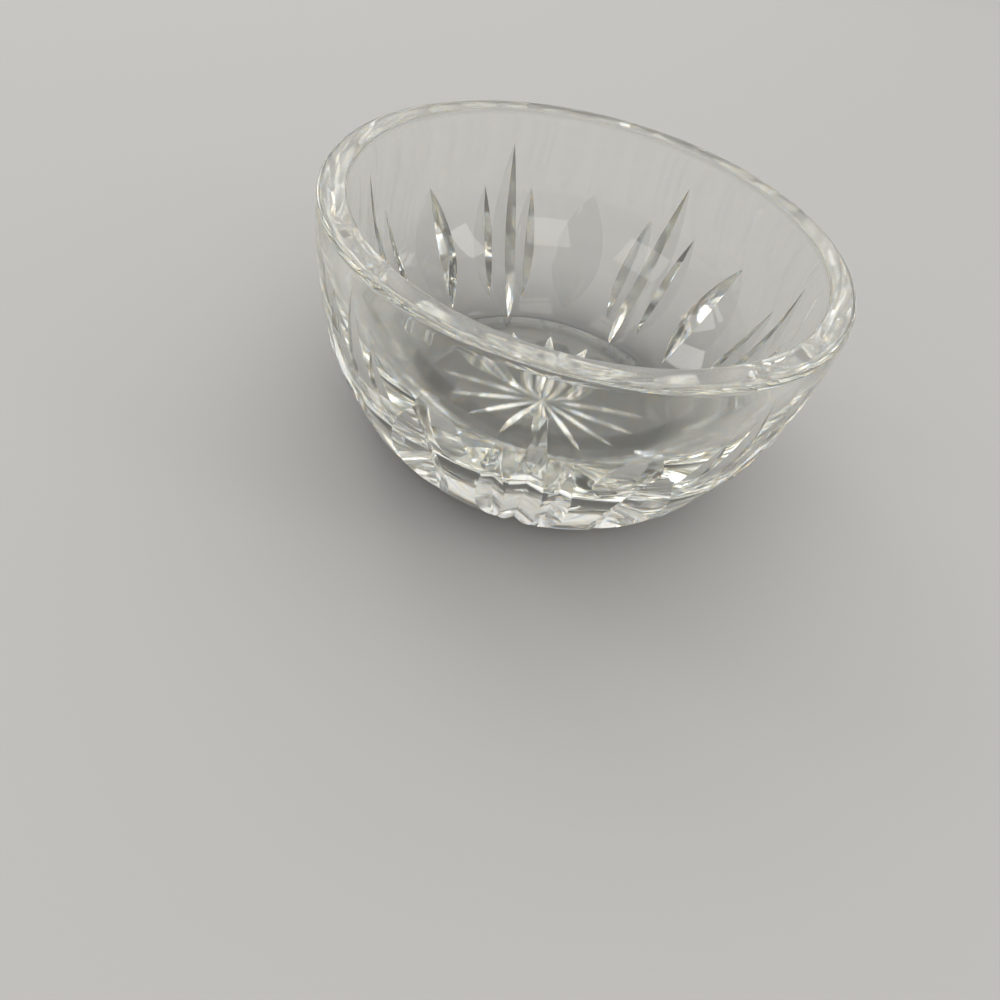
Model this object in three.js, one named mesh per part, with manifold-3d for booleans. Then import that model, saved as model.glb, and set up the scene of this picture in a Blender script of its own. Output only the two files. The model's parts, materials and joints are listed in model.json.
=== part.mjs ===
import * as THREE from 'three';
import { mergeVertices } from 'three/addons/utils/BufferGeometryUtils.js';
import Module from 'manifold-3d';

// Finger bowl of clear cut crystal, one solid piece of glass. Millimetres, +Z up, origin at the
// middle of the base. The blank is turned, then every ornament is a mitre: the groove that the
// V-shaped edge of a cutting wheel leaves when the bowl is rolled under it.

// Blank
const bowlHeight = 57;
const rimRadius = 57;
const baseRadius = 37;
const wallThickness = 6;
const floorThickness = 11;
const wallFullness = 2.57;
const hollowFullness = 2.9;
const rimOuterRound = 1.8;
const rimInnerRound = 1.4;
const baseEdgeRound = 1;

// Pattern on the wall: broad single leaves stand between fans of one long leaf and two short
// ones. A leaf's belly is its deepest and broadest place, as a share of its height. The long
// leaf's foot would lie below the base, so it leaves a small notch in the base's edge.
const repeats = 7;
const firstFanAngle = -88.3;
const fanSpread = 7.2;
const broadLeaf = {
  footAboveBase: 3.4, tipBelowRim: 20.5, depth: 3.6, mitreAngle: 132, belly: 0.42, steps: 12,
};
const longLeaf = {
  footAboveBase: -1.5, tipBelowRim: 10, depth: 2.8, mitreAngle: 114, belly: 0.28, steps: 13,
};
const shortLeaf = {
  footAboveBase: 4.4, tipBelowRim: 21.5, depth: 2.1, mitreAngle: 114, belly: 0.4, steps: 9,
};

// Star under the base, with a flat ring left outside its tips for the bowl to stand on
const starRays = 16;
const firstRayAngle = 5.2;
const restingRing = 7;
const starRay = { depth: 1.6, mitreAngle: 106, belly: 0.5, steps: 6 };

// Fineness of the turned surfaces
const turnSegments = 80;
const wallSteps = 12;
const roundSteps = 3;

// How far a mitre's cutter runs on past the glass, as a share of the leaf and in height
const runOut = 0.05;
const cutterClearance = 1.2;

const wasm = await Module();
wasm.setup();

// A wall's outline is a quarter of a superellipse centred on the mouth: upright at the rim, full
// at the side and round below. Its angle runs from 0 at the rim to 90 degrees at the bottom.
class WallOutline {
  constructor(radius, depth, fullness) {
    Object.assign(this, { radius, depth, fullness });
  }

  pointAt(angle) {
    const power = 2 / this.fullness;
    return new THREE.Vector2(
      this.radius * Math.cos(angle) ** power,
      bowlHeight - this.depth * Math.sin(angle) ** power,
    );
  }

  angleAt(height) {
    const share = (bowlHeight - height) / this.depth;
    return Math.asin(share ** (this.fullness / 2));
  }

  radiusAt(height) {
    return this.pointAt(this.angleAt(height)).x;
  }

  pointsBetween(fromAngle, toAngle) {
    return stepped(wallSteps, fromAngle, toAngle, (angle) => this.pointAt(angle));
  }
}

function stepped(steps, from, to, pointAt) {
  return Array.from({ length: steps + 1 }, (_, i) => (
    pointAt(THREE.MathUtils.lerp(from, to, i / steps))
  ));
}

function roundPoints(centre, radius, fromAngle, toAngle) {
  return stepped(roundSteps, fromAngle, toAngle, (angle) => (
    new THREE.Vector2(Math.cos(angle), Math.sin(angle)).multiplyScalar(radius).add(centre)
  ));
}

// The outside would come down to a point below the base, which cuts it off at the base's radius
const cutOff = (1 - (baseRadius / rimRadius) ** wallFullness) ** (1 / wallFullness);
const outside = new WallOutline(rimRadius, bowlHeight / cutOff, wallFullness);
const hollow = new WallOutline(
  rimRadius - wallThickness,
  bowlHeight - floorThickness,
  hollowFullness,
);

// From the middle of the base, out and up the wall, over the rim and down the hollow
function blankProfile() {
  const outerRoundStart = bowlHeight - rimOuterRound;
  const innerRoundEnd = bowlHeight - rimInnerRound;
  const [wallFoot, ...wall] = outside.pointsBetween(
    outside.angleAt(baseEdgeRound),
    outside.angleAt(outerRoundStart),
  );
  const baseEdge = new THREE.QuadraticBezierCurve(
    new THREE.Vector2(baseRadius - baseEdgeRound, 0),
    new THREE.Vector2(baseRadius, 0),
    wallFoot,
  );
  const outerCentre = new THREE.Vector2(rimRadius - rimOuterRound, outerRoundStart);
  const innerCentre = new THREE.Vector2(hollow.radius + rimInnerRound, innerRoundEnd);
  return [
    new THREE.Vector2(0, 0),
    ...baseEdge.getPoints(roundSteps),
    ...wall.slice(0, -1),
    ...roundPoints(outerCentre, rimOuterRound, 0, Math.PI / 2),
    ...roundPoints(innerCentre, rimInnerRound, Math.PI / 2, Math.PI),
    ...hollow.pointsBetween(hollow.angleAt(innerRoundEnd), Math.PI / 2).slice(1),
  ];
}

// A closed geometry as a solid that can be cut: positions alone, with shared corners merged
function solidFrom(geometry) {
  geometry.deleteAttribute('normal');
  geometry.deleteAttribute('uv');
  const merged = mergeVertices(geometry, 1e-4);
  const corners = merged.index.array;
  const triangles = [];
  for (let i = 0; i < corners.length; i += 3) {
    const [a, b, c] = corners.slice(i, i + 3);
    if (a !== b && b !== c && c !== a) triangles.push(a, b, c);
  }
  return new wasm.Manifold(new wasm.Mesh({
    numProp: 3,
    vertProperties: new Float32Array(merged.attributes.position.array),
    triVerts: new Uint32Array(triangles),
  }));
}

function geometryFrom(solid) {
  const mesh = solid.getMesh();
  const geometry = new THREE.BufferGeometry();
  geometry.setAttribute('position', new THREE.BufferAttribute(mesh.vertProperties, 3));
  geometry.setIndex(new THREE.BufferAttribute(mesh.triVerts, 1));
  return geometry;
}

// The line that the wheel's edge follows, in the plane y = 0: along the surface, sinking to the
// full depth at the leaf's belly and rising out of the glass at both of its tips
class MitreLine extends THREE.Curve {
  constructor(leaf, surfaceAt, inwardAt) {
    super();
    Object.assign(this, { leaf, surfaceAt, inwardAt });
  }

  getPoint(t) {
    const { depth, belly } = this.leaf;
    const along = THREE.MathUtils.lerp(-runOut, 1 + runOut, t);
    const fromBelly = along < belly ? (belly - along) / belly : (along - belly) / (1 - belly);
    const sink = depth * (1 - fromBelly ** 2);
    return this.surfaceAt(along).addScaledVector(this.inwardAt(along), sink);
  }
}

// The wheel's V edge swept along its line
function mitreCutter(leaf, line) {
  const reach = leaf.depth + cutterClearance;
  const halfWidth = reach * Math.tan(THREE.MathUtils.degToRad(leaf.mitreAngle / 2));
  const edge = new THREE.Shape([
    new THREE.Vector2(0, 0),
    new THREE.Vector2(halfWidth, reach),
    new THREE.Vector2(-halfWidth, reach),
  ]);
  const sweep = { steps: leaf.steps, extrudePath: line, bevelEnabled: false };
  return new THREE.ExtrudeGeometry(edge, sweep);
}

function wallPoint(height) {
  return new THREE.Vector3(outside.radiusAt(height), 0, height);
}

function wallInward(height) {
  const step = 0.01;
  const along = wallPoint(height + step).sub(wallPoint(height - step)).normalize();
  return new THREE.Vector3(-along.z, 0, along.x);
}

function wallLeafCutter(leaf) {
  const foot = leaf.footAboveBase;
  const tip = bowlHeight - leaf.tipBelowRim;
  const heightAt = (along) => THREE.MathUtils.lerp(foot, tip, along);
  const line = new MitreLine(
    leaf,
    (along) => wallPoint(heightAt(along)),
    (along) => wallInward(heightAt(along)),
  );
  return mitreCutter(leaf, line);
}

function starRayCutter() {
  const starRadius = baseRadius - baseEdgeRound - restingRing;
  const line = new MitreLine(
    starRay,
    (along) => new THREE.Vector3(starRadius * along, 0, 0),
    () => new THREE.Vector3(0, 0, 1),
  );
  return mitreCutter(starRay, line);
}

function cutCrystalBowl() {
  const blank = new THREE.LatheGeometry(blankProfile(), turnSegments).rotateX(Math.PI / 2);
  let solid = solidFrom(blank);
  const cut = (cutter, degrees) => {
    const placed = cutter.clone().rotateZ(THREE.MathUtils.degToRad(degrees));
    solid = solid.subtract(solidFrom(placed));
  };
  const broad = wallLeafCutter(broadLeaf);
  const long = wallLeafCutter(longLeaf);
  const short = wallLeafCutter(shortLeaf);
  const pitch = 360 / repeats;
  for (let i = 0; i < repeats; i += 1) {
    const fanAngle = firstFanAngle + i * pitch;
    cut(long, fanAngle);
    cut(short, fanAngle - fanSpread);
    cut(short, fanAngle + fanSpread);
    cut(broad, fanAngle + pitch / 2);
  }
  const ray = starRayCutter();
  for (let i = 0; i < starRays; i += 1) {
    cut(ray, firstRayAngle + (i * 360) / starRays);
  }
  return geometryFrom(solid);
}

const crystal = new THREE.MeshStandardMaterial({
  color: '#e6e5df',
  roughness: 0.03,
  metalness: 0,
  transparent: true,
  opacity: 0.35,
});

const bowl = new THREE.Mesh(cutCrystalBowl(), crystal);
bowl.name = 'bowl';

const fingerBowl = new THREE.Group();
fingerBowl.add(bowl);

export default fingerBowl;
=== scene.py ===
"""Finger bowl of clear cut crystal: a thick turned blank, mitre cuts on its wall, a star below."""

from __future__ import annotations

import json
import logging
import math
from collections.abc import Callable, Iterable
from dataclasses import dataclass, field
from enum import Enum

import bmesh
import bpy
from mathutils import Matrix, Vector

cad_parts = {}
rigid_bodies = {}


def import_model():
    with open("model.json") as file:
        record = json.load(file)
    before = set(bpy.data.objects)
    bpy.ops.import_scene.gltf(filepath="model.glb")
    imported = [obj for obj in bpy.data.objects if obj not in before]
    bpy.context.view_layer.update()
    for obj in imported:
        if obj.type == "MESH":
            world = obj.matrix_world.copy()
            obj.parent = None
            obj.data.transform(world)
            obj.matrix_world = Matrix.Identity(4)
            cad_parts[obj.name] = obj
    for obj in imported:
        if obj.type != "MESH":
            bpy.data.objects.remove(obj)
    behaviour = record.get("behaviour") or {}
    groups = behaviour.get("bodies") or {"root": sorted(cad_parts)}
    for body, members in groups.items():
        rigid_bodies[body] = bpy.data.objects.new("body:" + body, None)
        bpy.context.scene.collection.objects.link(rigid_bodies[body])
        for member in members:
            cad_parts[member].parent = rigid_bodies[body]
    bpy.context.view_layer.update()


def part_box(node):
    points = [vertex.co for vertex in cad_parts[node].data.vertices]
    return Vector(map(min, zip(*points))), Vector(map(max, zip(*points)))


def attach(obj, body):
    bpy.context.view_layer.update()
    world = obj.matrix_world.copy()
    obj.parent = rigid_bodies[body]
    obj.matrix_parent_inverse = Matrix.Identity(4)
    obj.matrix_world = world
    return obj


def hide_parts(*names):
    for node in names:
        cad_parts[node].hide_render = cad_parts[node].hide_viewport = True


LOG = logging.getLogger("finger_bowl")
MM = 0.001
MERGE_WITHIN = 0.0005 * MM
RIGHT_ANGLE = math.pi / 2
Colour = tuple[float, float, float, float]


class Cut(Enum):
    """The kinds of mitre cut that the bowl carries."""

    BROAD_LEAF = "broad_leaf"
    LONG_LEAF = "long_leaf"
    SHORT_LEAF = "short_leaf"
    STAR_RAY = "star_ray"


# Shape of the blank


@dataclass(frozen=True)
class WallOutline:
    """One side of the glass wall: a quarter of a superellipse that is centred on the mouth."""

    radius: float
    depth: float
    fullness: float
    mouth: float

    def point_at(self, angle: float) -> Vector:
        """A point of the outline.

        Args:
            angle: its angle, from 0 at the mouth to a right angle at the lowest point.

        Returns:
            The point, with its radius as x and its height as z.
        """
        power = 2 / self.fullness
        across = self.radius * max(math.cos(angle), 0.0) ** power
        return Vector((across, 0, self.mouth - self.depth * math.sin(angle) ** power))

    def angle_at(self, height: float) -> float:
        """The outline's angle at a height above the base."""
        return math.asin(((self.mouth - height) / self.depth) ** (self.fullness / 2))

    def radius_at(self, height: float) -> float:
        """The wall's radius at a height above the base."""
        return self.point_at(self.angle_at(height)).x

    def points_between(self, start: float, end: float, steps: int) -> list[Vector]:
        """The outline's points at even steps between two angles, both ends included."""
        return [self.point_at(start + (end - start) * i / steps) for i in range(steps + 1)]


@dataclass
class CrystalBlank:
    """The blank before it is cut: base, wall, fire-polished rim and hollow."""

    rim_radius: float
    height: float
    base_radius: float = 37 * MM
    wall_thickness: float = 6 * MM
    floor_thickness: float = 11 * MM
    wall_fullness: float = 2.57
    hollow_fullness: float = 2.9
    rim_outer_round: float = 1.8 * MM
    rim_inner_round: float = 0.7 * MM
    base_edge_round: float = 1 * MM
    turn_segments: int = 240
    wall_steps: int = 44
    round_steps: int = 8

    @property
    def outside(self) -> WallOutline:
        """The outer wall, which would come down to a point below the base that cuts it off.

        Returns:
            Its outline.
        """
        share = self.base_radius / self.rim_radius
        cut_off = (1 - share**self.wall_fullness) ** (1 / self.wall_fullness)
        return WallOutline(self.rim_radius, self.height / cut_off, self.wall_fullness, self.height)

    @property
    def hollow(self) -> WallOutline:
        """The inside of the bowl.

        Returns:
            Its outline.
        """
        return WallOutline(
            self.rim_radius - self.wall_thickness,
            self.height - self.floor_thickness,
            self.hollow_fullness,
            self.height,
        )

    def _round(self, centre: Vector, radius: float, start: float) -> list[Vector]:
        """A quarter of a circle in the profile's plane.

        Args:
            centre: the middle of the circle.
            radius: its radius.
            start: the angle at which the quarter starts, from the way outwards.

        Returns:
            The points of the quarter, both ends included.
        """
        turns = [start + i * RIGHT_ANGLE / self.round_steps for i in range(self.round_steps + 1)]
        return [centre + radius * Vector((math.cos(a), 0, math.sin(a))) for a in turns]

    def _base_edge(self, wall_foot: Vector) -> list[Vector]:
        """The eased edge between the flat base and the wall.

        Args:
            wall_foot: the lowest point of the wall.

        Returns:
            Points on a curve that leaves the base level and meets the wall at its foot.
        """
        inner = Vector((self.base_radius - self.base_edge_round, 0, 0))
        corner = Vector((self.base_radius, 0, 0))
        shares = [i / self.round_steps for i in range(self.round_steps)]
        return [(1 - t) ** 2 * inner + 2 * t * (1 - t) * corner + t**2 * wall_foot for t in shares]

    def profile(self) -> list[Vector]:
        """The section of one side of the blank, in the plane y = 0.

        Returns:
            Its points from the middle of the base, up the wall, over the rim and down inside.
        """
        outside, hollow = self.outside, self.hollow
        rim_outer = self.height - self.rim_outer_round
        rim_inner = self.height - self.rim_inner_round
        wall = outside.points_between(
            outside.angle_at(self.base_edge_round), outside.angle_at(rim_outer), self.wall_steps
        )
        outer_centre = Vector((self.rim_radius - self.rim_outer_round, 0, rim_outer))
        inner_centre = Vector((hollow.radius + self.rim_inner_round, 0, rim_inner))
        inside = hollow.points_between(hollow.angle_at(rim_inner), RIGHT_ANGLE, self.wall_steps)
        return [
            Vector((0, 0, 0)),
            *self._base_edge(wall[0]),
            *wall[:-1],
            *self._round(outer_centre, self.rim_outer_round, 0),
            *self._round(inner_centre, self.rim_inner_round, RIGHT_ANGLE),
            *inside[1:],
        ]

    def turn(self) -> bmesh.types.BMesh:
        """Turns the profile about the bowl's axis.

        Returns:
            The blank as a closed solid.
        """
        bm = bmesh.new()
        verts = [bm.verts.new(p) for p in self.profile()]
        edges = [bm.edges.new(pair) for pair in zip(verts, verts[1:])]
        bmesh.ops.spin(
            bm,
            geom=verts + edges,
            cent=(0, 0, 0),
            axis=(0, 0, 1),
            angle=2 * math.pi,
            steps=self.turn_segments,
            use_merge=True,
        )
        bmesh.ops.remove_doubles(bm, verts=bm.verts, dist=MERGE_WITHIN)
        bmesh.ops.recalc_face_normals(bm, faces=bm.faces)
        return bm


# Cuts


@dataclass(frozen=True)
class Mitre:
    """A groove left by the V-shaped edge of a cutting wheel, deepest at its belly."""

    kind: Cut
    depth: float
    angle: float
    belly: float
    steps: int
    run_out: float = 0.05
    clearance: float = 1.2 * MM

    def sink_at(self, along: float) -> float:
        """How deep the wheel's edge lies below the surface.

        Args:
            along: the share of the groove's length.

        Returns:
            The depth there, which is below zero past the groove's tips.
        """
        side = self.belly if along < self.belly else 1 - self.belly
        from_belly = abs(along - self.belly) / side
        return self.depth * (1 - from_belly**2)

    def cutter(
        self, surface_at: Callable[[float], Vector], inward_at: Callable[[float], Vector]
    ) -> bmesh.types.BMesh:
        """Sweeps the wheel's V-shaped edge along the surface in the plane y = 0.

        Args:
            surface_at: the surface's point at a share of the groove's length.
            inward_at: the way into the glass at that share.

        Returns:
            A closed solid that leaves the groove when it is taken away from the glass.
        """
        length = 1 + 2 * self.run_out
        shares = [length * i / self.steps - self.run_out for i in range(self.steps + 1)]
        line = [surface_at(s) + inward_at(s) * self.sink_at(s) for s in shares]
        frames = [self._frame(line, i, inward_at(s)) for i, s in enumerate(shares)]
        bm = bmesh.new()
        corners = [bm.verts.new(frames[0] @ corner) for corner in self._edge_section()]
        edges = list(bm.faces.new(corners).edges)
        for last, now in zip(frames, frames[1:]):
            grown = bmesh.ops.extrude_edge_only(bm, edges=edges)["geom"]
            verts = [g for g in grown if isinstance(g, bmesh.types.BMVert)]
            edges = [g for g in grown if isinstance(g, bmesh.types.BMEdge)]
            bmesh.ops.transform(bm, matrix=now @ last.inverted(), verts=verts)
        bmesh.ops.contextual_create(bm, geom=edges)
        bmesh.ops.recalc_face_normals(bm, faces=bm.faces)
        return bm

    def _edge_section(self) -> list[Vector]:
        """The wheel's V-shaped edge in cross-section.

        Returns:
            The tip of the V, then its two ends.
        """
        reach = self.depth + self.clearance
        half_width = reach * math.tan(self.angle / 2)
        return [Vector((0, 0, 0)), Vector((0, half_width, reach)), Vector((0, -half_width, reach))]

    @staticmethod
    def _frame(line: list[Vector], i: int, inward: Vector) -> Matrix:
        """The wheel's place at one step: x along its line, y to its side and z out of the glass.

        Args:
            line: the points that the wheel's edge follows.
            i: the step.
            inward: the way into the glass there.

        Returns:
            The matrix that puts the wheel's section in place.
        """
        along = (line[min(i + 1, len(line) - 1)] - line[max(i - 1, 0)]).normalized()
        side = along.cross(inward).normalized()
        out = along.cross(side)
        out = out if out.dot(inward) < 0 else -out
        side = out.cross(along)
        frame = Matrix((along, side, out)).transposed().to_4x4()
        frame.translation = line[i]
        return frame


@dataclass(frozen=True)
class WallLeaf:
    """A leaf that is cut upright into the outer wall."""

    mitre: Mitre
    foot_above_base: float
    tip_below_rim: float
    slope_step: float = 0.01 * MM

    def cutter(self, blank: CrystalBlank) -> bmesh.types.BMesh:
        """The leaf's cutter on the wall at its meeting with the plane y = 0.

        Args:
            blank: the blank that is cut.

        Returns:
            The closed cutter.
        """
        outside = blank.outside
        tip = blank.height - self.tip_below_rim

        def height_at(along: float) -> float:
            """The height at a share of the leaf's length."""
            return self.foot_above_base + (tip - self.foot_above_base) * along

        def surface_at(along: float) -> Vector:
            """The wall's point at a share of the leaf's length."""
            height = height_at(along)
            return Vector((outside.radius_at(height), 0, height))

        def inward_at(along: float) -> Vector:
            """The way into the glass.

            Args:
                along: the share of the leaf's length.

            Returns:
                The way square to the wall there, of length 1.
            """
            step = self.slope_step
            height = height_at(along)
            rise = outside.radius_at(height + step) - outside.radius_at(height - step)
            up = Vector((rise, 0, 2 * step)).normalized()
            return Vector((-up.z, 0, up.x))

        return self.mitre.cutter(surface_at, inward_at)


@dataclass(frozen=True)
class StarRay:
    """A ray of the star that is cut under the base, from its middle outwards."""

    mitre: Mitre
    resting_ring: float

    def cutter(self, blank: CrystalBlank) -> bmesh.types.BMesh:
        """The ray's cutter along +X.

        Args:
            blank: the blank that is cut.

        Returns:
            The closed cutter.
        """
        length = blank.base_radius - blank.base_edge_round - self.resting_ring
        up = Vector((0, 0, 1))
        return self.mitre.cutter(lambda share: Vector((length * share, 0, 0)), lambda _share: up)


@dataclass
class CutPattern:
    """Broad single leaves between fans of one long and two short leaves, and a star underneath."""

    repeats: int = 7
    first_fan: float = math.radians(-88.3)
    fan_spread: float = math.radians(7.2)
    broad: WallLeaf = WallLeaf(
        Mitre(Cut.BROAD_LEAF, depth=3.6 * MM, angle=math.radians(132), belly=0.42, steps=40),
        foot_above_base=3.4 * MM,
        tip_below_rim=20.5 * MM,
    )
    long: WallLeaf = WallLeaf(
        Mitre(Cut.LONG_LEAF, depth=2.8 * MM, angle=math.radians(114), belly=0.28, steps=44),
        foot_above_base=-1.5 * MM,
        tip_below_rim=10 * MM,
    )
    short: WallLeaf = WallLeaf(
        Mitre(Cut.SHORT_LEAF, depth=2.1 * MM, angle=math.radians(114), belly=0.4, steps=34),
        foot_above_base=4.4 * MM,
        tip_below_rim=21.5 * MM,
    )
    star_rays: int = 16
    first_ray: float = math.radians(5.2)
    ray: StarRay = StarRay(
        Mitre(Cut.STAR_RAY, depth=1.6 * MM, angle=math.radians(106), belly=0.5, steps=28),
        resting_ring=7 * MM,
    )

    def places(self) -> Iterable[tuple[WallLeaf | StarRay, float]]:
        """Lays the cuts out around the bowl.

        Returns:
            Each cut with the angle about the bowl's axis at which it is made.
        """
        pitch = 2 * math.pi / self.repeats
        for i in range(self.repeats):
            fan = self.first_fan + i * pitch
            yield self.long, fan
            yield self.short, fan - self.fan_spread
            yield self.short, fan + self.fan_spread
            yield self.broad, fan + pitch / 2
        for i in range(self.star_rays):
            yield self.ray, self.first_ray + i * 2 * math.pi / self.star_rays


# Finishes


@dataclass(frozen=True)
class Grain:
    """An irregular fine pattern: the size of its spots, its detail, and how much of it shows."""

    size: float
    detail: float
    roughness: float
    distortion: float = 0.0
    starts_at: float = 0.0
    full_at: float = 1.0


MARKS = Grain(7.7 * MM, detail=5.0, roughness=0.62, starts_at=0.5, full_at=0.75)
SCUFFS = Grain(1.4 * MM, detail=6.0, roughness=0.75, distortion=1.5, starts_at=0.5, full_at=0.62)
STROKES = Grain(0.5 * MM, detail=3.0, roughness=0.6, distortion=0.5, starts_at=0.35, full_at=0.65)


class Nodes:
    """A short way to build a material's nodes."""

    def __init__(self, name: str) -> None:
        """Starts an empty material.

        Args:
            name: the material's name.
        """
        self.material = bpy.data.materials.new(name)
        self.material.use_nodes = True
        self.tree = self.material.node_tree
        self.tree.nodes.clear()

    def add(
        self, kind: str, inputs: dict[str | int, object] | None = None, **settings: object
    ) -> bpy.types.Node:
        """Adds a node.

        Args:
            kind: the node's type, such as ShaderNodeMix.
            inputs: values and links for its sockets; a socket as the value makes a link.
            settings: its other settings.

        Returns:
            The node.
        """
        node = self.tree.nodes.new(kind)
        for key, value in settings.items():
            setattr(node, key, value)
        for key, value in (inputs or {}).items():
            if isinstance(value, bpy.types.NodeSocket):
                self.tree.links.new(value, node.inputs[key])
            else:
                node.inputs[key].default_value = value
        return node

    def place(self) -> bpy.types.NodeSocket:
        """The place on the piece, in its own frame."""
        return self.add("ShaderNodeTexCoord").outputs["Object"]

    def height(self, place: bpy.types.NodeSocket) -> bpy.types.NodeSocket:
        """The height of a place above the base."""
        return self.add("ShaderNodeSeparateXYZ", {0: place}).outputs["Z"]

    def spread(
        self,
        value: bpy.types.NodeSocket,
        between: tuple[float, float],
        onto: tuple[float, float] = (0.0, 1.0),
    ) -> bpy.types.NodeSocket:
        """Maps a range of values onto another range, and holds what lies outside at its ends.

        Args:
            value: the value.
            between: the range that is read.
            onto: what the two ends of that range give.

        Returns:
            The mapped value.
        """
        ends = {"From Min": between[0], "From Max": between[1], "To Min": onto[0], "To Max": onto[1]}
        return self.add("ShaderNodeMapRange", {"Value": value, **ends}).outputs["Result"]

    def grain(
        self,
        place: bpy.types.NodeSocket,
        grain: Grain,
        onto: tuple[float, float] = (0.0, 1.0),
    ) -> bpy.types.NodeSocket:
        """An irregular pattern.

        Args:
            place: the coordinates that it follows.
            grain: the pattern.
            onto: what its bare and its fullest spots give.

        Returns:
            The pattern's value.
        """
        noise = self.add(
            "ShaderNodeTexNoise",
            {
                "Vector": place,
                "Scale": 1 / grain.size,
                "Detail": grain.detail,
                "Roughness": grain.roughness,
                "Distortion": grain.distortion,
            },
        )
        return self.spread(noise.outputs["Fac"], (grain.starts_at, grain.full_at), onto)

    def joined(
        self, operation: str, first: bpy.types.NodeSocket, second: object
    ) -> bpy.types.NodeSocket:
        """Two values joined by arithmetic.

        Args:
            operation: ADD or MULTIPLY.
            first: the first value.
            second: the second value, as a socket or a number.

        Returns:
            The result.
        """
        return self.add("ShaderNodeMath", {0: first, 1: second}, operation=operation).outputs[0]

    def mix(
        self, share: object, first: bpy.types.Node, second: bpy.types.Node
    ) -> bpy.types.Node:
        """Mixes two shaders.

        Args:
            share: the second one's share, as a socket or a number.
            first: the first shader.
            second: the second shader.

        Returns:
            The mix.
        """
        return self.add("ShaderNodeMixShader", {0: share, 1: first.outputs[0], 2: second.outputs[0]})

    def finish(self, surface: bpy.types.Node) -> bpy.types.Material:
        """Puts a shader on the surface and gives the material."""
        self.add("ShaderNodeOutputMaterial", {"Surface": surface.outputs[0]})
        return self.material


@dataclass(frozen=True)
class SpectrumEnd:
    """One end of the visible light: its share of red, green and blue, and how glass bends it."""

    share: Colour
    ior: float


@dataclass(frozen=True)
class Ripple:
    """Slow waves in a polished face."""

    size: float
    height: float
    detail: float = 1.0
    roughness: float = 0.35


@dataclass(frozen=True)
class Cords:
    """Fine upright streaks that are left in the glass when it is worked."""

    height: float
    width: float = 2.6 * MM
    length: float = 22 * MM
    detail: float = 2.0
    roughness: float = 0.5


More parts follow.
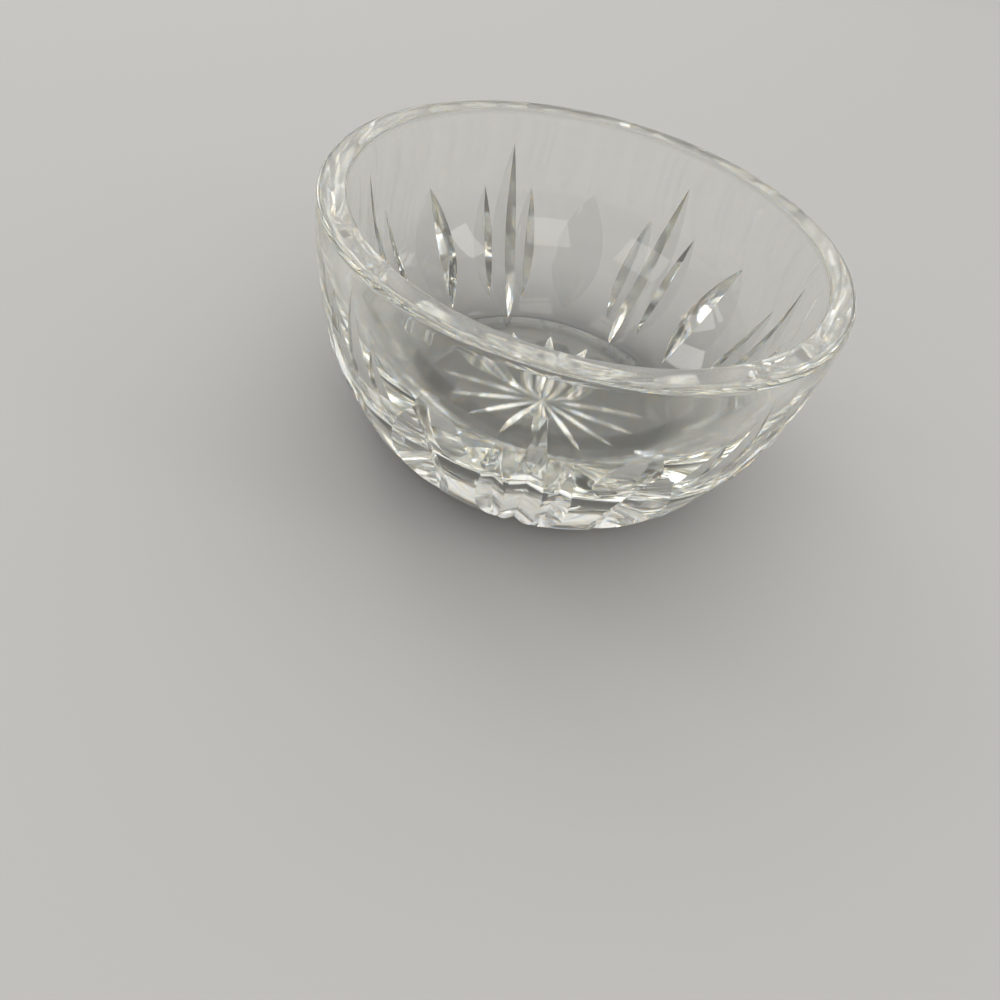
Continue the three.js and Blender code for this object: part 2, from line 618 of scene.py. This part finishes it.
@dataclass(frozen=True)
class CrystalFinish:
    """Clear crystal with the ripple of hand-polished glass and light handling marks."""

    name: str
    polish: float
    polish_change: float
    haze: float
    ripple: Ripple
    cords: Cords
    rim_haze: float = 0.0
    rim_depth: float = 1.5 * MM
    bare_rim: float = 0.85
    wear: float = 0.22
    worn_height: float = 0.15 * MM
    shade: float = 0.68
    edge_blend: float = 0.35
    milk: Colour = (0.95, 0.94, 0.9, 1.0)
    shadow: Colour = (0.83, 0.83, 0.82, 1.0)
    warm: SpectrumEnd = SpectrumEnd((0.605, 0.497, 0.335, 1.0), 1.539)
    cool: SpectrumEnd = SpectrumEnd((0.388, 0.497, 0.648, 1.0), 1.553)

    def _relief(self, nodes: Nodes, place: bpy.types.NodeSocket) -> bpy.types.NodeSocket:
        """The polished face's slow ripple, with fine upright cords over it.

        Args:
            nodes: the material's nodes.
            place: the coordinates that the relief follows.

        Returns:
            The relief as a normal.
        """
        ripple, cords = self.ripple, self.cords
        waves = nodes.add(
            "ShaderNodeTexNoise",
            {
                "Vector": place,
                "Scale": 1 / ripple.size,
                "Detail": ripple.detail,
                "Roughness": ripple.roughness,
            },
        )
        slow = nodes.add(
            "ShaderNodeBump",
            {"Height": waves.outputs["Fac"], "Distance": ripple.height, "Strength": 1.0},
        )
        stretch = (1 / cords.width, 1 / cords.width, 1 / cords.length)
        drawn = nodes.add("ShaderNodeMapping", {"Vector": place, "Scale": stretch})
        streaks = nodes.add(
            "ShaderNodeTexNoise",
            {
                "Vector": drawn.outputs[0],
                "Scale": 1.0,
                "Detail": cords.detail,
                "Roughness": cords.roughness,
            },
        )
        fine = nodes.add(
            "ShaderNodeBump",
            {
                "Height": streaks.outputs["Fac"],
                "Distance": cords.height,
                "Strength": 1.0,
                "Normal": slow.outputs["Normal"],
            },
        )
        return fine.outputs["Normal"]

    def _gloss(self, nodes: Nodes, place: bpy.types.NodeSocket) -> bpy.types.NodeSocket:
        """The roughness: faint marks of handling, and scuffs where the base stands.

        Args:
            nodes: the material's nodes.
            place: the coordinates that the marks follow.

        Returns:
            The roughness.
        """
        handled = nodes.grain(place, MARKS, (self.polish, self.polish + self.polish_change))
        foot = nodes.spread(nodes.height(place), (0.0, self.worn_height), (1.0, 0.0))
        worn = nodes.grain(place, SCUFFS, (0.0, self.wear))
        return nodes.joined("ADD", handled, nodes.joined("MULTIPLY", worn, foot))

    def _cloud(
        self, nodes: Nodes, place: bpy.types.NodeSocket, mouth: float
    ) -> bpy.types.NodeSocket:
        """The share of the light that fine marks scatter, which is largest on the ground rim.

        Args:
            nodes: the material's nodes.
            place: the coordinates that the marks follow.
            mouth: the height of the rim.

        Returns:
            The share.
        """
        rim = (mouth - self.rim_depth, mouth)
        at_rim = nodes.spread(nodes.height(place), rim, (0.0, self.rim_haze))
        ground = nodes.joined("MULTIPLY", at_rim, nodes.grain(place, STROKES, (self.bare_rim, 1.0)))
        return nodes.joined("ADD", ground, self.haze)

    def _passing(self, nodes: Nodes) -> bpy.types.NodeSocket:
        """The share of a lamp's light that goes straight on, least where the face turns away.

        Args:
            nodes: the material's nodes.

        Returns:
            The share.
        """
        facing = nodes.add("ShaderNodeLayerWeight", {"Blend": self.edge_blend}).outputs["Facing"]
        passing = nodes.spread(facing, (0.0, 1.0), (1.0, 1.0 - self.shade))
        towards_lamp = nodes.add("ShaderNodeLightPath").outputs["Is Shadow Ray"]
        return nodes.joined("MULTIPLY", towards_lamp, passing)

    def build(self, mouth: float) -> bpy.types.Material:
        """Makes glass that parts light into colours, and lets most of it through to the floor.

        Args:
            mouth: the height of the rim.

        Returns:
            The material.
        """
        nodes = Nodes(self.name)
        place = nodes.place()
        relief = self._relief(nodes, place)
        gloss = self._gloss(nodes, place)
        warm, cool = (
            nodes.add(
                "ShaderNodeBsdfGlass",
                {"Color": end.share, "Roughness": gloss, "IOR": end.ior, "Normal": relief},
            )
            for end in (self.warm, self.cool)
        )
        glass = nodes.add("ShaderNodeAddShader", {0: warm.outputs[0], 1: cool.outputs[0]})
        behind = nodes.add("ShaderNodeBsdfTranslucent", {"Color": self.milk, "Normal": relief})
        before = nodes.add("ShaderNodeBsdfDiffuse", {"Color": self.milk, "Normal": relief})
        milky = nodes.mix(0.5, behind, before)
        body = nodes.mix(self._cloud(nodes, place, mouth), glass, milky)
        clear = nodes.add("ShaderNodeBsdfTransparent", {"Color": self.shadow})
        return nodes.finish(nodes.mix(self._passing(nodes), body, clear))


FIRE_POLISHED = CrystalFinish(
    "crystal_fire_polished",
    polish=0.008,
    polish_change=0.02,
    haze=0.0,
    ripple=Ripple(16 * MM, 0.012 * MM),
    cords=Cords(0.0018 * MM),
    rim_haze=0.42,
)
LEAF_CUT = CrystalFinish(
    "crystal_leaf_cut",
    polish=0.015,
    polish_change=0.02,
    haze=0.18,
    ripple=Ripple(3 * MM, 0.004 * MM),
    cords=Cords(0.0),
    milk=(0.6, 0.595, 0.58, 1.0),
)
STAR_CUT = CrystalFinish(
    "crystal_star_cut",
    polish=0.02,
    polish_change=0.03,
    haze=0.05,
    ripple=Ripple(3 * MM, 0.004 * MM),
    cords=Cords(0.0),
)


@dataclass(frozen=True)
class FloorFinish:
    """Plain pale studio paper."""

    name: str = "studio_paper"
    colour: Colour = (0.5, 0.495, 0.485, 1.0)
    roughness: float = 0.9
    sheen: float = 0.1

    def build(self) -> bpy.types.Material:
        """Makes the paper, which hardly shines.

        Returns:
            The material.
        """
        nodes = Nodes(self.name)
        inputs = {
            "Base Color": self.colour,
            "Roughness": self.roughness,
            "Specular IOR Level": self.sheen,
        }
        return nodes.finish(nodes.add("ShaderNodeBsdfPrincipled", inputs))


# The bowl


def object_from(bm: bmesh.types.BMesh, name: str) -> bpy.types.Object:
    """Makes an object from a bmesh and frees the bmesh.

    Args:
        bm: the shape.
        name: the object's and its mesh's name.

    Returns:
        The object, linked to the scene.
    """
    mesh = bpy.data.meshes.new(name)
    bm.to_mesh(mesh)
    bm.free()
    made = bpy.data.objects.new(name, mesh)
    bpy.context.scene.collection.objects.link(made)
    return made


@dataclass
class CutCrystalBowl:
    """The whole bowl: its blank, its cuts and its finishes."""

    blank: CrystalBlank
    pattern: CutPattern = field(default_factory=CutPattern)
    finish: CrystalFinish = FIRE_POLISHED
    leaf_finish: CrystalFinish = LEAF_CUT
    star_finish: CrystalFinish = STAR_CUT
    name: str = "cut_crystal_bowl"
    sharp_from: float = math.radians(13)

    def _cutters(self) -> bpy.types.Collection:
        """Makes every cutter in its place.

        Returns:
            The cutters, in a collection of their own.
        """
        leaf_face = self.leaf_finish.build(self.blank.height)
        star_face = self.star_finish.build(self.blank.height)
        cutters = bpy.data.collections.new("cutters")
        bpy.context.scene.collection.children.link(cutters)
        for i, (cut, angle) in enumerate(self.pattern.places()):
            kind = cut.mitre.kind
            bm = cut.cutter(self.blank)
            turned = Matrix.Rotation(angle, 3, "Z")
            bmesh.ops.rotate(bm, verts=bm.verts, cent=(0, 0, 0), matrix=turned)
            cutter = object_from(bm, f"cutter_{kind.value}_{i}")
            cutter.data.materials.append(star_face if kind is Cut.STAR_RAY else leaf_face)
            bpy.context.scene.collection.objects.unlink(cutter)
            cutters.objects.link(cutter)
        return cutters

    def _cut(self, bowl: bpy.types.Object) -> None:
        """Takes every cut out of the blank.

        Args:
            bowl: the blank's object, whose mesh is replaced.
        """
        cutters = self._cutters()
        wheel = bowl.modifiers.new("wheel", "BOOLEAN")
        wheel.operation = "DIFFERENCE"
        wheel.operand_type = "COLLECTION"
        wheel.collection = cutters
        wheel.solver = "MANIFOLD"
        wheel.material_mode = "TRANSFER"
        depsgraph = bpy.context.evaluated_depsgraph_get()
        cut_mesh = bpy.data.meshes.new_from_object(bowl.evaluated_get(depsgraph))
        bowl.modifiers.clear()
        blank_mesh, bowl.data = bowl.data, cut_mesh
        bpy.data.meshes.remove(blank_mesh)
        for cutter in list(cutters.objects):
            bpy.data.meshes.remove(cutter.data)
        bpy.data.collections.remove(cutters)

    def _polish(self, bowl: bpy.types.Object) -> None:
        """Cleans the cut mesh and shades it smooth between the edges of its cuts.

        Args:
            bowl: the cut bowl.
        """
        bm = bmesh.new()
        bm.from_mesh(bowl.data)
        bmesh.ops.remove_doubles(bm, verts=bm.verts, dist=MERGE_WITHIN)
        bmesh.ops.dissolve_degenerate(bm, edges=bm.edges, dist=MERGE_WITHIN)
        bmesh.ops.triangulate(bm, faces=[f for f in bm.faces if len(f.verts) > 4])
        open_edges = sum(not e.is_manifold for e in bm.edges)
        bm.to_mesh(bowl.data)
        bm.free()
        bowl.data.shade_smooth()
        bowl.data.set_sharp_from_angle(angle=self.sharp_from)
        faces = len(bowl.data.polygons)
        LOG.info("%s: %d faces, %d edges not closed", bowl.name, faces, open_edges)

    def build(self) -> bpy.types.Object:
        """Makes the bowl, which takes the place of its CAD node.

        Returns:
            The bowl's object.
        """
        bowl = object_from(self.blank.turn(), self.name)
        bowl.data.materials.append(self.finish.build(self.blank.height))
        self._cut(bowl)
        self._polish(bowl)
        bowl.data.name = self.name
        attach(bowl, "root")
        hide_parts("bowl")
        return bowl


# The studio


@dataclass
class PhotoView:
    """The camera, at the angle and distance from which the bowl was seen."""

    rim_radius: float
    height: float
    rim_radii_away: float = 3.174
    elevation: float = math.radians(25.226)
    yaw: float = math.radians(1.337)
    pitch: float = math.radians(-45.61)
    roll: float = math.radians(-14.819)
    lens: float = 29.145
    sensor_width: float = 36
    nearest: float = 0.01

    def build(self) -> bpy.types.Object:
        """Makes the camera, which starts level with +Y ahead and +Z up before it turns.

        Returns:
            The camera's object.
        """
        camera = bpy.data.cameras.new("photo_view")
        camera.sensor_fit = "HORIZONTAL"
        camera.sensor_width = self.sensor_width
        camera.lens = self.lens
        camera.clip_start = self.nearest
        made = bpy.data.objects.new("photo_view", camera)
        yawed = Matrix.Rotation(self.yaw, 4, "Z")
        pitched = Matrix.Rotation(self.pitch, 4, "X")
        rolled = Matrix.Rotation(self.roll, 4, "Y")
        level = Matrix.Rotation(RIGHT_ANGLE, 4, "X")
        away = self.rim_radii_away * self.rim_radius
        back = away * math.cos(self.elevation)
        place = Vector((0, -back, self.height + away * math.sin(self.elevation)))
        made.matrix_world = Matrix.Translation(place) @ yawed @ pitched @ rolled @ level
        bpy.context.scene.collection.objects.link(made)
        bpy.context.scene.camera = made
        LOG.info("camera at %s", tuple(round(c, 4) for c in place))
        return made


@dataclass(frozen=True)
class SoftBox:
    """A soft lamp that faces the bowl; its azimuth counts from +X towards +Y."""

    name: str
    azimuth: float
    elevation: float
    width: float
    height: float
    power: float
    distance: float = 1.0
    warmth: tuple[float, float, float] = (1.0, 0.98, 0.95)

    def build(self, target: Vector) -> bpy.types.Object:
        """Makes the lamp.

        Args:
            target: the point that it faces.

        Returns:
            The lamp's object.
        """
        lamp = bpy.data.lights.new(self.name, "AREA")
        lamp.shape = "RECTANGLE"
        lamp.size = self.width
        lamp.size_y = self.height
        lamp.energy = self.power
        lamp.color = self.warmth
        made = bpy.data.objects.new(self.name, lamp)
        level = math.cos(self.elevation)
        across = (level * math.cos(self.azimuth), level * math.sin(self.azimuth))
        way = Vector((*across, math.sin(self.elevation)))
        facing = way.to_track_quat("Z", "Y").to_matrix().to_4x4()
        made.matrix_world = Matrix.Translation(target + way * self.distance) @ facing
        bpy.context.scene.collection.objects.link(made)
        return made


@dataclass(frozen=True)
class SkyBand:
    """The surround's brightness at one elevation."""

    elevation: float
    brightness: float
    warmth: tuple[float, float, float] = (1.0, 0.995, 0.985)


@dataclass
class Studio:
    """A plain pale floor under plain soft light."""

    floor_finish: FloorFinish = FloorFinish()
    floor_size: float = 6.0
    air_gap: float = 0.1 * MM
    light_paths: int = 24
    sky: tuple[SkyBand, ...] = (
        SkyBand(elevation=0.0, brightness=0.12),
        SkyBand(elevation=math.radians(18), brightness=0.2),
        SkyBand(elevation=math.radians(42), brightness=0.5),
        SkyBand(elevation=math.radians(60), brightness=1.3),
    )
    back: SoftBox = SoftBox(
        "back",
        azimuth=math.radians(92),
        elevation=math.radians(34),
        width=1.4,
        height=0.45,
        power=2.0,
    )
    front_right: SoftBox = SoftBox(
        "front_right",
        azimuth=math.radians(-64),
        elevation=math.radians(34),
        width=0.4,
        height=0.45,
        power=0.95,
    )
    front_left: SoftBox = SoftBox(
        "front_left",
        azimuth=math.radians(-128),
        elevation=math.radians(32),
        width=0.45,
        height=0.45,
        power=1.05,
    )
    left: SoftBox = SoftBox(
        "left",
        azimuth=math.radians(172),
        elevation=math.radians(30),
        width=0.2,
        height=0.5,
        power=0.8,
    )
    right: SoftBox = SoftBox(
        "right",
        azimuth=math.radians(-8),
        elevation=math.radians(32),
        width=0.2,
        height=0.5,
        power=0.8,
    )
    key: SoftBox = SoftBox(
        "key",
        azimuth=math.radians(140),
        elevation=math.radians(42),
        width=0.3,
        height=0.3,
        power=1.0,
    )

    @property
    def lamps(self) -> tuple[SoftBox, ...]:
        """Every lamp."""
        return self.back, self.front_right, self.front_left, self.left, self.right, self.key

    def _floor(self) -> bpy.types.Object:
        """Makes the floor, a hair below the bowl's base so that the two don't share a face.

        Returns:
            The floor's object.
        """
        bm = bmesh.new()
        bmesh.ops.create_grid(bm, x_segments=1, y_segments=1, size=self.floor_size / 2)
        bmesh.ops.translate(bm, verts=bm.verts, vec=(0, 0, -self.air_gap))
        floor = object_from(bm, "studio_floor")
        floor.data.materials.append(self.floor_finish.build())
        return floor

    def _world(self) -> bpy.types.World:
        """Makes a surround that grows brighter overhead, as under a large ceiling lamp.

        Returns:
            The surround.
        """
        world = bpy.data.worlds.new("surround")
        world.use_nodes = True
        nodes, links = world.node_tree.nodes, world.node_tree.links
        way = nodes.new("ShaderNodeTexCoord")
        parts = nodes.new("ShaderNodeSeparateXYZ")
        bands = nodes.new("ShaderNodeValToRGB")
        elements = bands.color_ramp.elements
        while len(elements) < len(self.sky):
            elements.new(1.0)
        for element, band in zip(elements, self.sky):
            element.position = math.sin(band.elevation)
            element.color = (*(band.brightness * c for c in band.warmth), 1.0)
        links.new(way.outputs["Generated"], parts.inputs["Vector"])
        links.new(parts.outputs["Z"], bands.inputs["Fac"])
        links.new(bands.outputs["Color"], nodes["Background"].inputs["Color"])
        bpy.context.scene.world = world
        return world

    def _light_paths(self) -> None:
        """Lets light cross many faces of glass, without the grain of focused light."""
        cycles = bpy.context.scene.cycles
        cycles.max_bounces = self.light_paths
        cycles.transmission_bounces = self.light_paths
        cycles.glossy_bounces = self.light_paths
        cycles.caustics_reflective = False
        cycles.caustics_refractive = False

    def build(self, target: Vector) -> None:
        """Makes the floor, the surround and the lamps.

        Args:
            target: the point that the lamps face.
        """
        self._floor()
        self._world()
        self._light_paths()
        for lamp in self.lamps:
            lamp.build(target)
        bpy.context.scene.view_settings.view_transform = "Standard"
        LOG.info("studio: floor, surround and %d lamps", len(self.lamps))


def main() -> None:
    """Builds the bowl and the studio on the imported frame."""
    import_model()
    low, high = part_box("bowl")
    rim_radius, height = (high.x - low.x) / 2, high.z - low.z
    bowl = CutCrystalBowl(CrystalBlank(rim_radius, height)).build()
    LOG.info("made %s", bowl.name)
    Studio().build(Vector((0, 0, height / 2)))
    PhotoView(rim_radius, height).build()


if __name__ == "__main__":
    logging.basicConfig(level=logging.INFO, format="%(name)s: %(message)s")
    main()
